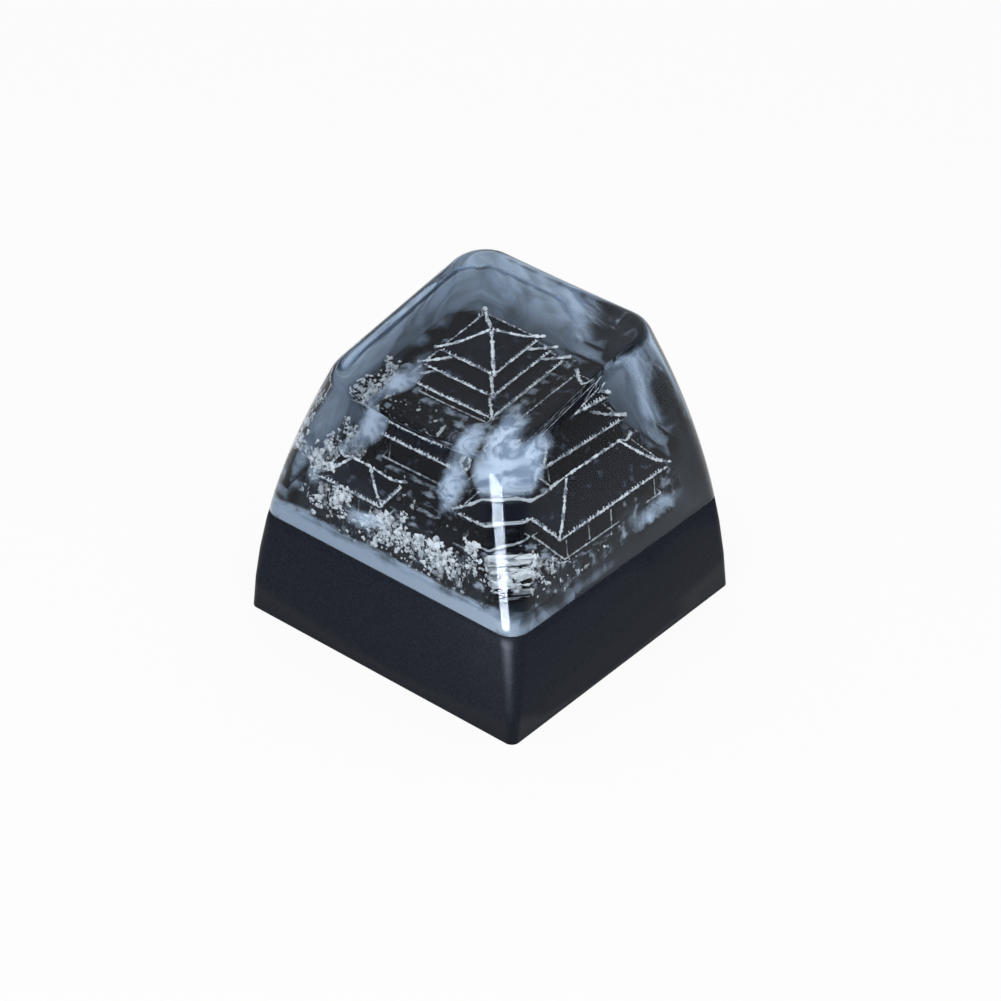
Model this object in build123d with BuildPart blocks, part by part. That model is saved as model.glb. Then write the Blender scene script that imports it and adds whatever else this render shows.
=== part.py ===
from build123d import *
from math import atan, cos, pi, radians, sin, sqrt
import os

# Artisan keycap: a dark skirt that plugs on a switch, under a clear cast dome with a
# miniature hamlet and milky mist inside. Millimetres, +Z up, the typist sits towards -Y,
# and the origin is the middle of the rim.

# Outer body
base_width = 18.0
rim_corner_radius = 0.46
top_corner_radius = 1.9
front_height = 14.74
back_height = 16.89
side_inset = 2.88
front_inset = 2.52
back_inset = 3.05
side_lean = -0.06
front_lean = 0.17
back_lean = 0.46
section_count = 9
dish_sag_front = 0.45
dish_sag_back = 0.06
dish_overlap = 1.0
dish_lip = 0.1
top_edge_radius = 0.6

# Skirt, cavity and switch socket
seam_height = 6.1
rim_wall = 1.5
cavity_draft = 0.4
cavity_corner_radius = 1.2
deck_thickness = 1.5
post_diameter = 5.6
post_recess = 0.4
socket_arm = 4.1
socket_slot_x = 1.32
socket_slot_y = 1.12
socket_depth = 4.0
socket_lead_in = 0.18

# Roofs, shared by every building
eave_thickness = 0.22
roof_hollow = 0.12
ridge_bar_width = 0.24
ridge_bar_height = 0.13
tip_reach = 0.3
tip_flick = 0.22
post_size = 0.28
plinth_height = 0.25
plinth_margin = 0.35

# Tower of three storeys, at the back left
tower_x = -2.0
tower_y = 2.4
tower_width = 4.2
storey_step = 1.15
storey_count = 3
tower_overhang = 0.9
tier_pitch = 0.42
spire_pitch = 0.9
finial_radius = 0.2
finial_sides = 6
finial_taper = 12.0
finial_height = 0.7
resin_cover = 2.4

# Long hall with its ridge along Y, on the right
hall_x = 4.3
hall_y = 0.9
hall_length = 7.0
hall_depth = 2.9
hall_wall = 1.3
hall_overhang = 0.75
hall_pitch = 0.86
hall_bays = 5

# Gate house with its ridge along X, at the front left
gate_x = -3.9
gate_y = -4.2
gate_length = 3.0
gate_depth = 1.8
gate_wall = 1.15
gate_overhang = 0.6
gate_pitch = 0.8
gate_door_width = 0.9
gate_door_height = 0.8
gate_bays = 4

# Stone terraces that carry the buildings, and the stair between them
tower_terrace = 1.5
hall_terrace = 0.9
gate_terrace = 0.6
terrace_margin = 0.45
terrace_batter = 9.0
stair_width = 1.5
stair_steps = 6
stair_tread = 0.45

# Rocks and bushes: rough many-sided outlines
outline_sides = 6
outline_swell = 0.16
outline_notch = 0.08
rock_batter = 9.0
rock_slant = 0.32
crown_share = 0.5
crown_batter = 38.0
crag_count = 7
crag_radius = 1.3
crag_height = 1.7
crag_from = 20.0
crag_to = 205.0
boulder_count = 11
boulder_radius = 0.86
boulder_height = 0.9
boulder_from = 214.0
boulder_to = 334.0
bush_count = 7
bush_radius = 0.62
bush_height = 0.7
bush_setback = 0.3
bush_from = 258.0
bush_to = 330.0
size_swing = 0.3
swing_turn = 2.4
row_squareness = 4
resin_skin = 0.9

# Milky mist
mist_depth = 0.7
mist_landfall = 2.6
mist_shore = 4.2
smoke_gap = 0.3
smoke_thickness = 0.25
smoke_corner = 1.3
smoke_foot = 0.3
smoke_top = 0.88
smoke_bands = 3
smoke_front = 0.36
smoke_end = 0.3
veil_gap = 0.25
veil_thickness = 0.2
veil_reach = 0.38
front_veil_height = 3.6
front_veil_slope = 0.2
right_veil_height = 2.4
right_veil_slope = 0.12

half_width = base_width / 2
top_front = -half_width + front_inset
top_back = half_width - back_inset
top_slope = (back_height - front_height) / (top_back - top_front)
top_half_width = half_width - side_inset
ceiling = seam_height - deck_thickness
largest_share = (1 + size_swing) * (1 + outline_swell + outline_notch)
crag_row = half_width - resin_skin - crag_radius * largest_share
boulder_row = half_width - resin_skin - boulder_radius * largest_share
bush_row = boulder_row - boulder_radius - bush_setback
tower_floor = seam_height + tower_terrace
hall_floor = seam_height + hall_terrace
gate_floor = seam_height + gate_terrace


def drawn_in(share, inset, lean):
    """How far a flank has drawn in at a share of the height: a straight lean plus a curve."""
    return inset * (lean * share + (1 - lean) * share**2)


def top_level(y):
    """Height of the undished top plane at a place along Y."""
    return front_height + top_slope * (y - top_front)


def section_at(share):
    """Tilted plane, width, depth and corner radius of the body at a share of the height."""
    front = -half_width + drawn_in(share, front_inset, front_lean)
    back = half_width - drawn_in(share, back_inset, back_lean)
    middle = (front + back) / 2
    tilt = atan(share * top_slope)
    plane = Plane(
        origin=(0, middle, share * top_level(middle)),
        x_dir=(1, 0, 0),
        z_dir=(0, -sin(tilt), cos(tilt)),
    )
    width = base_width - 2 * drawn_in(share, side_inset, side_lean)
    radius = rim_corner_radius + (top_corner_radius - rim_corner_radius) * share
    return plane, width, (back - front) / cos(tilt), radius


def outer_form(ruled):
    """Rounded sections that tilt more as they rise, joined by straight bands or by one smooth skin."""
    with BuildPart() as form:
        for step in range(section_count):
            plane, width, depth, radius = section_at(step / (section_count - 1))
            with BuildSketch(plane):
                RectangleRounded(width, depth, radius)
        loft(ruled=ruled)
    return form.part


# Whole outside form of the casting, with the finger dish, and the plainer one of the skirt
skirt_form = outer_form(ruled=True)
casting_form = outer_form(ruled=False)
with BuildPart() as body:
    add(casting_form)
    dish_half = top_half_width + dish_overlap
    for dish_y, dish_sag in (
        (top_front - dish_overlap, dish_sag_front),
        (top_back + dish_overlap, dish_sag_back),
    ):
        dish_plane = Plane(origin=(0, dish_y, top_level(dish_y)), x_dir=(1, 0, 0), z_dir=(0, -1, 0))
        with BuildSketch(dish_plane):
            with BuildLine():
                ThreePointArc((-dish_half, dish_lip), (0, -dish_sag), (dish_half, dish_lip))
                Polyline(
                    (dish_half, dish_lip),
                    (dish_half, back_height),
                    (-dish_half, back_height),
                    (-dish_half, dish_lip),
                )
            make_face()
    loft(ruled=True, mode=Mode.SUBTRACT)
    fillet(body.faces().sort_by(Axis.Z)[-1].edges(), top_edge_radius)


# Roofs, walls and rocks: small forms that the buildings and the ground share
def roof_height(distance, half_span, rise):
    """Height of a hollow slope at a distance in from its eave."""
    share = distance / half_span
    return eave_thickness + (rise - eave_thickness) * share - 4 * roof_hollow * share * (1 - share)


def hip_roof(length, depth, rise):
    """Hip roof on the XY plane, ridge along X, with hollow slopes and bars on ridge and hips."""
    half_length = length / 2
    half_span = depth / 2
    crest = half_length - half_span
    lower_height = roof_height(half_span / 4, half_span, rise)
    middle_height = roof_height(half_span / 2, half_span, rise)
    with BuildPart() as roof:
        with BuildSketch(Plane.YZ):
            with BuildLine():
                ThreePointArc((-half_span, eave_thickness), (-half_span / 2, middle_height), (0, rise))
                ThreePointArc((0, rise), (half_span / 2, middle_height), (half_span, eave_thickness))
                Polyline(
                    (half_span, eave_thickness), (half_span, 0), (-half_span, 0), (-half_span, eave_thickness)
                )
            make_face()
        extrude(amount=half_length, both=True)
        with BuildSketch(Plane.XZ):
            with BuildLine():
                hip_middle = half_length - half_span / 2
                ThreePointArc((-half_length, eave_thickness), (-hip_middle, middle_height), (-crest, rise))
                if crest > 0:
                    Line((-crest, rise), (crest, rise))
                ThreePointArc((crest, rise), (hip_middle, middle_height), (half_length, eave_thickness))
                Polyline(
                    (half_length, eave_thickness),
                    (half_length, 0),
                    (-half_length, 0),
                    (-half_length, eave_thickness),
                )
            make_face()
        extrude(amount=half_span, both=True, mode=Mode.INTERSECT)
        hip_run = half_span * sqrt(2)
        for side_x, side_y in ((1, 1), (1, -1), (-1, 1), (-1, -1)):
            hip_plane = Plane(
                origin=(side_x * half_length, side_y * half_span, 0),
                x_dir=(-side_x, -side_y, 0),
                z_dir=(-side_y, side_x, 0),
            )
            hip_up = 1 if hip_plane.y_dir.Z > 0 else -1
            with BuildSketch(hip_plane):
                with BuildLine():
                    Polyline(
                        (-tip_reach, hip_up * (eave_thickness + tip_flick)),
                        (hip_run / 4, hip_up * (lower_height + ridge_bar_height)),
                        (hip_run / 2, hip_up * (middle_height + ridge_bar_height)),
                        (hip_run, hip_up * (rise + ridge_bar_height)),
                        (hip_run, hip_up * (rise - ridge_bar_height)),
                        (hip_run / 2, hip_up * (middle_height - ridge_bar_height)),
                        (eave_thickness, hip_up * eave_thickness / 2),
                        close=True,
                    )
                make_face()
            extrude(amount=ridge_bar_width / 2, both=True)
        if crest > 0:
            with Locations((0, 0, rise)):
                Box(2 * crest + ridge_bar_width, ridge_bar_width, 2 * ridge_bar_height)
    return roof.part


def walls(length, depth, height, bays):
    """Plain walls on the XY plane with posts standing proud along both long sides."""
    with BuildPart() as room:
        Box(length, depth, height, align=(Align.CENTER, Align.CENTER, Align.MIN))
        with GridLocations(length / (bays - 1), depth, bays, 2):
            Box(
                post_size,
                post_size,
                height,
                align=(Align.CENTER, Align.CENTER, Align.MIN),
            )
    return room.part


def irregular_outline(radius, phase):
    """Corners of a rough many-sided outline round the origin."""
    turns = [2 * pi * side / outline_sides for side in range(outline_sides)]
    corners = []
    for turn in turns:
        swell = outline_swell * sin(2 * turn + phase) + outline_notch * sin(3 * turn - phase)
        corners.append((radius * (1 + swell) * cos(turn), radius * (1 + swell) * sin(turn)))
    return corners


def rock(radius, height, phase):
    """Angular boulder on the XY plane: a battered prism under a crown with a slanted top."""
    slant = rock_slant * sin(phase)
    crown = crown_share * radius
    top_plane = Plane(origin=(0, 0, height + crown / 2), z_dir=(slant, rock_slant - abs(slant), 1))
    with BuildPart() as lump:
        with BuildSketch(Plane.XY):
            Polygon(*irregular_outline(radius, phase))
        extrude(amount=height, taper=rock_batter)
        extrude(lump.faces().sort_by(Axis.Z)[-1], amount=crown, taper=crown_batter)
        split(bisect_by=top_plane, keep=Keep.BOTTOM)
    return lump.part


def bush(radius, height, phase):
    """Clipped bush on the XY plane: an upright foot under a drawn-in crown."""
    with BuildPart() as clump:
        with BuildSketch(Plane.XY):
            Polygon(*irregular_outline(radius, phase))
        extrude(amount=height)
        extrude(clump.faces().sort_by(Axis.Z)[-1], amount=crown_share * radius, taper=crown_batter)
    return clump.part


def swung(index):
    """Size factor of a lump in a row, so that no two neighbours match."""
    return 1 + size_swing * sin(swing_turn * index)


def along_row(row, first_turn, last_turn, share):
    """Place on a rounded square of the given half-width, at a share of the way between two turns."""
    turn = radians(first_turn + (last_turn - first_turn) * share)
    reach = row / (cos(turn) ** row_squareness + sin(turn) ** row_squareness) ** (1 / row_squareness)
    return reach * cos(turn), reach * sin(turn), seam_height


def lumps_in_row(shape, count, radius, height):
    """Rocks or bushes of a row, in order, no two alike."""
    return [shape(radius * swung(index), height * swung(index + 1), index) for index in range(count)]


# Dark skirt: the body below the seam, hollowed for the switch, with its post and cross socket
with BuildPart() as base_skirt:
    add(skirt_form)
    split(bisect_by=Plane.XY.offset(seam_height), keep=Keep.BOTTOM)
    cavity_width = base_width - 2 * rim_wall
    with BuildSketch(Plane.XY):
        RectangleRounded(cavity_width, cavity_width, cavity_corner_radius)
    with BuildSketch(Plane.XY.offset(ceiling)):
        ceiling_width = cavity_width - 2 * cavity_draft
        RectangleRounded(ceiling_width, ceiling_width, cavity_corner_radius)
    loft(ruled=True, mode=Mode.SUBTRACT)
    with BuildSketch(Plane.XY.offset(post_recess)):
        Circle(post_diameter / 2)
    extrude(amount=ceiling - post_recess)
    with BuildSketch(Plane.XY.offset(post_recess)):
        Rectangle(socket_arm, socket_slot_x)
        Rectangle(socket_slot_y, socket_arm)
    extrude(amount=socket_depth, mode=Mode.SUBTRACT)
    post_mouth = base_skirt.faces().filter_by(Plane.XY).sort_by(Axis.Z)[1]
    chamfer(post_mouth.inner_wires()[0].edges(), socket_lead_in)

# Tower: storeys that narrow as they rise and share the height left under the dome, each with a
# skirt roof, and a spire with a finial on the last
tower_base = tower_floor + plinth_height
room_widths = [tower_width - level * storey_step for level in range(storey_count)]
spire_rise = spire_pitch * (room_widths[-1] / 2 + tower_overhang)
spire_foot = top_level(tower_y) - resin_cover - finial_height / 2 - spire_rise
storey_rise = (spire_foot - tower_base) / storey_count
storeys = []
for level, room_width in enumerate(room_widths):
    roof_span = room_width + 2 * tower_overhang
    roof_rise = spire_rise if level == storey_count - 1 else tier_pitch * roof_span / 2
    room = walls(room_width, room_width, storey_rise, 2)
    storeys.append((room, hip_roof(roof_span, roof_span, roof_rise)))
with BuildPart() as tower:
    plinth_width = tower_width + 2 * plinth_margin
    with Locations((tower_x, tower_y, tower_floor)):
        Box(plinth_width, plinth_width, plinth_height, align=(Align.CENTER, Align.CENTER, Align.MIN))
    for level, (room, roof) in enumerate(storeys):
        with Locations((tower_x, tower_y, tower_base + level * storey_rise)):
            add(room)
        with Locations((tower_x, tower_y, tower_base + (level + 1) * storey_rise)):
            add(roof)
    with BuildSketch(Plane.XY.offset(spire_foot + spire_rise - finial_height / 2)):
        with Locations((tower_x, tower_y)):
            RegularPolygon(finial_radius, finial_sides)
    extrude(amount=finial_height, taper=finial_taper)

# Long hall on the right, turned so that its ridge runs front to back
hall_span = hall_depth + 2 * hall_overhang
hall_room = walls(hall_length, hall_depth, hall_wall, hall_bays)
hall_roof = hip_roof(hall_length + 2 * hall_overhang, hall_span, hall_pitch * hall_span / 2)
with BuildPart() as long_hall:
    with Locations((hall_x, hall_y, hall_floor)):
        Box(
            hall_depth + 2 * plinth_margin,
            hall_length + 2 * plinth_margin,
            plinth_height,
            align=(Align.CENTER, Align.CENTER, Align.MIN),
        )
    with Locations((hall_x, hall_y, hall_floor + plinth_height)):
        add(hall_room, rotation=(0, 0, 90))
    with Locations((hall_x, hall_y, hall_floor + plinth_height + hall_wall)):
        add(hall_roof, rotation=(0, 0, 90))

# Gate house at the front left, with a doorway right through it
gate_span = gate_depth + 2 * gate_overhang
gate_room = walls(gate_length, gate_depth, gate_wall, gate_bays)
gate_roof = hip_roof(gate_length + 2 * gate_overhang, gate_span, gate_pitch * gate_span / 2)
with BuildPart() as gate_house:
    with Locations((gate_x, gate_y, gate_floor)):
        Box(
            gate_length + 2 * plinth_margin,
            gate_depth + 2 * plinth_margin,
            plinth_height,
            align=(Align.CENTER, Align.CENTER, Align.MIN),
        )
    with Locations((gate_x, gate_y, gate_floor + plinth_height)):
        add(gate_room)
        Box(
            gate_door_width,
            gate_depth + 2 * plinth_margin,
            gate_door_height,
            align=(Align.CENTER, Align.CENTER, Align.MIN),
            mode=Mode.SUBTRACT,
        )
    with Locations((gate_x, gate_y, gate_floor + plinth_height + gate_wall)):
        add(gate_roof)

# Stone terraces with crags along their back, which carry the buildings
seat_margin = 2 * (plinth_margin + terrace_margin)
tower_seat = tower_width + seat_margin
crags = lumps_in_row(rock, crag_count, crag_radius, crag_height)
with BuildPart() as terrace:
    for seat_x, seat_y, seat_size, seat_rise in (
        (tower_x, tower_y, (tower_seat, tower_seat), tower_terrace),
        (hall_x, hall_y, (hall_depth + seat_margin, hall_length + seat_margin), hall_terrace),
        (gate_x, gate_y, (gate_length + seat_margin, gate_depth + seat_margin), gate_terrace),
    ):
        with BuildSketch(Plane.XY.offset(seam_height + seat_rise)):
            with Locations((seat_x, seat_y)):
                Rectangle(*seat_size)
        extrude(amount=-seat_rise, taper=-terrace_batter)
    for index, crag in enumerate(crags):
        with Locations(along_row(crag_row, crag_from, crag_to, index / (crag_count - 1))):
            add(crag)
    add([building.part for building in (tower, long_hall, gate_house)], mode=Mode.SUBTRACT)

# Stair that climbs from the deck to the tower's terrace
stair_rise = tower_terrace / stair_steps
stair_top = tower_y - tower_seat / 2
with BuildPart() as stair:
    with BuildSketch(Plane.YZ.offset(tower_x + stair_width)):
        with BuildLine():
            stair_back = stair_top + terrace_margin
            stair_points = [(stair_back, seam_height), (stair_back, tower_floor)]
            for step in range(stair_steps):
                nosing = stair_top - step * stair_tread
                stair_points += [
                    (nosing, tower_floor - step * stair_rise),
                    (nosing, tower_floor - (step + 1) * stair_rise),
                ]
            Polyline(*stair_points, close=True)
        make_face()
    extrude(amount=stair_width / 2, both=True)
    add(terrace.part, mode=Mode.SUBTRACT)

# Loose boulders and bushes along the front, each seated on the deck
built = (terrace, stair, tower, long_hall, gate_house)
stones = lumps_in_row(rock, boulder_count, boulder_radius, boulder_height)
clumps = lumps_in_row(bush, bush_count, bush_radius, bush_height)
with BuildPart() as boulders:
    for index, stone in enumerate(stones):
        with Locations(along_row(boulder_row, boulder_from, boulder_to, index / (boulder_count - 1))):
            add(stone)
    add([fixture.part for fixture in built], mode=Mode.SUBTRACT)
with BuildPart() as bushes:
    for index, clump in enumerate(clumps):
        with Locations(along_row(bush_row, bush_from, bush_to, index / (bush_count - 1))):
            add(clump)
    add([fixture.part for fixture in (*built, boulders)], mode=Mode.SUBTRACT)

# Smoke: thin curtains of milky resin that lean with the walls and rise from the layer on the deck
def back_smoke(width, depth):
    """Plan of the smoke along the left and back walls, with a cut-off corner."""
    left = smoke_gap - width / 2
    back = depth / 2 - smoke_gap
    turn = smoke_corner + smoke_thickness * (sqrt(2) - 1)
    return [
        (left, -smoke_front * depth),
        (left, back - smoke_corner),
        (left + smoke_corner, back),
        (smoke_end * width, back),
        (smoke_end * width, back - smoke_thickness),
        (left + turn, back - smoke_thickness),
        (left + smoke_thickness, back - turn),
        (left + smoke_thickness, -smoke_front * depth),
    ]


def front_veil(width, depth):
    """Plan of the low veil along the front wall."""
    front = veil_gap - depth / 2
    inside = front + veil_thickness
    reach = veil_reach * width
    return [(-reach, front), (reach, front), (reach, inside), (-reach, inside)]


def right_veil(width, depth):
    """Plan of the low veil along the right wall."""
    right = width / 2 - veil_gap
    inside = right - veil_thickness
    reach = veil_reach * depth
    return [(right, -reach), (right, reach), (inside, reach), (inside, -reach)]


def curtain(plan):
    """Sheet above the seam through the plans on some of the body's sections."""
    with BuildPart() as sheet:
        for step in range(smoke_bands + 1):
            share = smoke_foot + (smoke_top - smoke_foot) * step / smoke_bands
            plane, width, depth, radius = section_at(share)
            with BuildSketch(plane):
                with BuildLine():
                    Polyline(*plan(width, depth), close=True)
                make_face()
        loft(ruled=True)
        split(bisect_by=Plane.XY.offset(seam_height), keep=Keep.TOP)
    return sheet.part


def lowered(sheet, height, lean):
    """Sheet cut off along a leaning plane, at a height over the middle of the deck."""
    top_plane = Plane(origin=(0, 0, seam_height + height), z_dir=(*lean, 1))
    with BuildPart() as low_sheet:
        add(sheet)
        split(bisect_by=top_plane, keep=Keep.BOTTOM)
    return low_sheet.part


smoke_sheets = [
    curtain(back_smoke),
    lowered(curtain(front_veil), front_veil_height, (front_veil_slope, 0)),
    lowered(curtain(right_veil), right_veil_height, (0, -right_veil_slope)),
]

# Thin milky layer on the deck, out to the wall at the front and left, with a curved shore on the right,
# that rises into the smoke
with BuildPart() as mist_spread:
    add(body.part)
    split(bisect_by=Plane.XY.offset(seam_height), keep=Keep.TOP)
    split(bisect_by=Plane.XY.offset(seam_height + mist_depth), keep=Keep.BOTTOM)
    with BuildSketch(Plane.XY.offset(seam_height)):
        with BuildLine():
            landfall = (base_width, mist_landfall - half_width)
            shore = Spline(landfall, (mist_shore, 0), (mist_shore, base_width))
            Polyline(shore @ 1, (base_width, base_width), shore @ 0)
        make_face()
    extrude(amount=mist_depth, mode=Mode.SUBTRACT)
    add(smoke_sheets)
    add([fixture.part for fixture in (*built, boulders, bushes)], mode=Mode.SUBTRACT)
with BuildPart() as mist_floor:
    add(mist_spread.solids().sort_by(SortBy.VOLUME)[-1])

# Clear dome: the body above the seam, cast round everything that stands on the deck
with BuildPart() as clear_cap:
    add(body.part)
    split(bisect_by=Plane.XY.offset(seam_height), keep=Keep.TOP)
    add([fixture.part for fixture in (*built, boulders, bushes, mist_floor)], mode=Mode.SUBTRACT)

os.makedirs("parts", exist_ok=True)
base_skirt.part.label = "base_skirt"
export_step(base_skirt.part, "parts/base_skirt.step")
clear_cap.part.label = "clear_cap"
export_step(clear_cap.part, "parts/clear_cap.step")
mist_floor.part.label = "mist_floor"
export_step(mist_floor.part, "parts/mist_floor.step")
terrace.part.label = "terrace"
export_step(terrace.part, "parts/terrace.step")
stair.part.label = "stair"
export_step(stair.part, "parts/stair.step")
tower.part.label = "tower"
export_step(tower.part, "parts/tower.step")
long_hall.part.label = "long_hall"
export_step(long_hall.part, "parts/long_hall.step")
gate_house.part.label = "gate_house"
export_step(gate_house.part, "parts/gate_house.step")
boulders.part.label = "boulders"
export_step(boulders.part, "parts/boulders.step")
bushes.part.label = "bushes"
export_step(bushes.part, "parts/bushes.step")
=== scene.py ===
"""Looks of a clear resin keycap with a miniature hamlet cast inside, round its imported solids."""

import logging
import math
import random
from dataclasses import dataclass, field
from enum import Enum
from functools import partial, reduce
from typing import Callable, Mapping, Optional, Sequence

import bmesh
import bpy
from bmesh.types import BMesh
from mathutils import Matrix, Vector, noise


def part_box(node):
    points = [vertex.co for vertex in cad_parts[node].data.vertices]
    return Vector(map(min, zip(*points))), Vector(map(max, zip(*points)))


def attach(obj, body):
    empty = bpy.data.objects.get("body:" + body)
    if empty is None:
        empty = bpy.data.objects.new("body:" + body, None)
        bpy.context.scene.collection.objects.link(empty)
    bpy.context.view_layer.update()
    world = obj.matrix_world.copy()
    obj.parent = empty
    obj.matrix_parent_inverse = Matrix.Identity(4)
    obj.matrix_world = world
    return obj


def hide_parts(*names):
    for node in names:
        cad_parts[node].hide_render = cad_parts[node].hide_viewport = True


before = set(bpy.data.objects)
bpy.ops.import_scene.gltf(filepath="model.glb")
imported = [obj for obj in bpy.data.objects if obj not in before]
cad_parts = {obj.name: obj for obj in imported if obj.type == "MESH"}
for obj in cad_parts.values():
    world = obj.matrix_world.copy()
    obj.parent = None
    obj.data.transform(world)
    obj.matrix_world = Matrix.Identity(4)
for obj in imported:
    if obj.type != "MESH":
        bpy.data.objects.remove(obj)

MM = 0.001
BODY = "root"
IMAGE_SIZE = 1001
MERGE_DISTANCE = 0.0005 * MM
UP = Vector((0, 0, 1))
CORNERS = ((-1, -1), (1, -1), (1, 1), (-1, 1))
WHITE = (1.0, 1.0, 1.0, 1.0)
RISING, FALLING = (0.0, 1.0), (1.0, 0.0)
NOISE_MIDDLE = 0.5
STEP_INPUTS = ("Value", "From Min", "From Max", "To Min", "To Max")
DIRECT_RAYS = ("Is Camera Ray", "Is Glossy Ray", "Is Transmission Ray")
LOG = logging.getLogger("keycap")

Span = tuple[float, float]
Triple = tuple[float, float, float]
Station = tuple[float, float, int]
Line = list[Vector]
Node = bpy.types.Node
Socket = bpy.types.NodeSocket
Material = bpy.types.Material
Item = bpy.types.Object
Inputs = Mapping[str | int, object]


class Slot(Enum):
    """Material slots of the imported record."""

    SKIRT = "skirt_resin"
    CLEAR = "clear_resin"
    MILKY = "milky_resin"
    ROOF = "roof_paint"
    STONE = "stone_paint"
    BUSH = "bush_paint"


@dataclass(frozen=True)
class Noise:
    """Noise on a piece's own coordinates: cells in a millimetre, octaves, swirl and stretch."""

    scale: float
    detail: float
    curl: float = 0.0
    stretch: Triple = (1.0, 1.0, 1.0)


class Graph:
    """Node tree, with short calls for the nodes that the finishes and the surround share."""

    def __init__(self, tree: bpy.types.NodeTree) -> None:
        """Takes over a node tree."""
        self.tree = tree

    def fill(self, node: Node, inputs: Inputs) -> None:
        """Fills some of a node's inputs.

        Args:
            node: The node.
            inputs: Socket or plain value for each input, by its name or number.
        """
        for key, value in inputs.items():
            if isinstance(value, Socket):
                self.tree.links.new(value, node.inputs[key])
            else:
                node.inputs[key].default_value = value

    def add(self, kind: str, inputs: Optional[Inputs] = None, **settings: str) -> Node:
        """Adds a node.

        Args:
            kind: The node's type, without its prefix.
            inputs: Sockets or plain values for its inputs.
            settings: Values of its own settings.

        Returns:
            The node.
        """
        node = self.tree.nodes.new(f"ShaderNode{kind}")
        for name, value in settings.items():
            setattr(node, name, value)
        self.fill(node, inputs or {})
        return node

    def maths(self, operation: str, first: Socket, second: "Socket | float") -> Socket:
        """Result of a Math node's operation on two values."""
        return self.add("Math", {0: first, 1: second}, operation=operation).outputs["Value"]

    def product(self, *values: Socket) -> Socket:
        """All of some values, multiplied."""
        return reduce(partial(self.maths, "MULTIPLY"), values)

    def any_ray(self, *kinds: str) -> Socket:
        """Whether a ray is of one of some kinds of the Light Path node, as 0 or 1."""
        path = self.add("LightPath")
        return reduce(partial(self.maths, "MAXIMUM"), [path.outputs[kind] for kind in kinds])

    def show(self, output: Node, share: Socket, first: Node, second: Node) -> None:
        """Leads a mix of two shaders to an output, by the share of the second."""
        mix = self.add("MixShader", {0: share, 1: first.outputs[0], 2: second.outputs[0]})
        self.fill(output, {"Surface": mix.outputs["Shader"]})


class Shading(Graph):
    """Node tree of one finish, round a Principled shader."""

    def __init__(self, name: str) -> None:
        """Starts a material that holds the shader.

        Args:
            name: The material's name.
        """
        self.material = bpy.data.materials.new(name)
        self.material.use_nodes = True
        super().__init__(self.material.node_tree)
        self.surface = self.tree.nodes["Principled BSDF"]
        self.output = self.tree.nodes["Material Output"]
        self.places = self.add("TexCoord").outputs

    def set(self, **inputs: object) -> None:
        """Fills the shader's inputs, named with _ for a space, with sockets or plain values."""
        self.fill(self.surface, {name.replace("_", " "): value for name, value in inputs.items()})

    def grain(self, grain: Noise) -> Socket:
        """Value of a noise.

        Args:
            grain: The noise.

        Returns:
            Its value, from 0 to 1.
        """
        place = self.add("Mapping", {"Scale": grain.stretch, "Vector": self.places["Object"]})
        inputs = {"Scale": grain.scale / MM, "Detail": grain.detail, "Distortion": grain.curl}
        return self.add("TexNoise", {**inputs, "Vector": place.outputs["Vector"]}).outputs["Fac"]

    def ragged(self, grain: Socket, depth: float) -> Socket:
        """Noise that swings to both sides of 0, by half a depth."""
        return self.maths("MULTIPLY", self.maths("SUBTRACT", grain, NOISE_MIDDLE), depth)

    def between(self, value: Socket, span: Span, result: Span = RISING) -> Socket:
        """Smooth step of a value, from one result to another over a span."""
        inputs = dict(zip(STEP_INPUTS, (value, *span, *result)))
        return self.add("MapRange", inputs, interpolation_type="SMOOTHSTEP").outputs["Result"]

    def blend(self, share: Socket, first: Triple, second: Triple) -> Socket:
        """Colour between two, by the share of the second."""
        inputs = {"Factor": share, "A": (*first, 1.0), "B": (*second, 1.0)}
        return self.add("Mix", inputs, data_type="RGBA").outputs["Result"]

    def axis_of(self, places: str, axis: str) -> Socket:
        """One axis of the piece's coordinates, such as its UV or its Normal."""
        return self.add("SeparateXYZ", {"Vector": self.places[places]}).outputs[axis]

    def bump(self, height: Socket, depth: float) -> None:
        """Raises the surface by a height map from 0 to 1, to a depth in millimetres."""
        self.set(Normal=self.add("Bump", {"Distance": depth * MM, "Height": height}).outputs["Normal"])

    def let_light_in(self) -> None:
        """Lets shadow and diffuse rays straight through, so that what is cast inside is evenly lit."""
        inward = self.any_ray("Is Shadow Ray", "Is Diffuse Ray")
        self.show(self.output, inward, self.surface, self.add("BsdfTransparent"))


@dataclass(frozen=True)
class SatinResin:
    """Dark cast resin of the skirt, with a fine satin grain."""

    deep: Triple = (0.011, 0.0135, 0.020)
    pale: Triple = (0.017, 0.021, 0.031)
    gleam: Triple = (0.75, 0.85, 1.0)
    grain: Noise = Noise(9.0, 3.0)
    grain_depth: float = 0.006
    colour_span: Span = (0.35, 0.7)
    wear_span: Span = (0.2, 0.8)
    roughness: Span = (0.36, 0.46)

    def material(self) -> Material:
        """Makes the finish.

        Returns:
            The material.
        """
        shade = Shading("satin_resin")
        grain = shade.grain(self.grain)
        shade.set(
            Base_Color=shade.blend(shade.between(grain, self.colour_span), self.deep, self.pale),
            Roughness=shade.between(grain, self.wear_span, self.roughness),
            Specular_IOR_Level=0.03,
            Specular_Tint=(*self.gleam, 1.0),
        )
        shade.bump(grain, self.grain_depth)
        return shade.material


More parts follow.
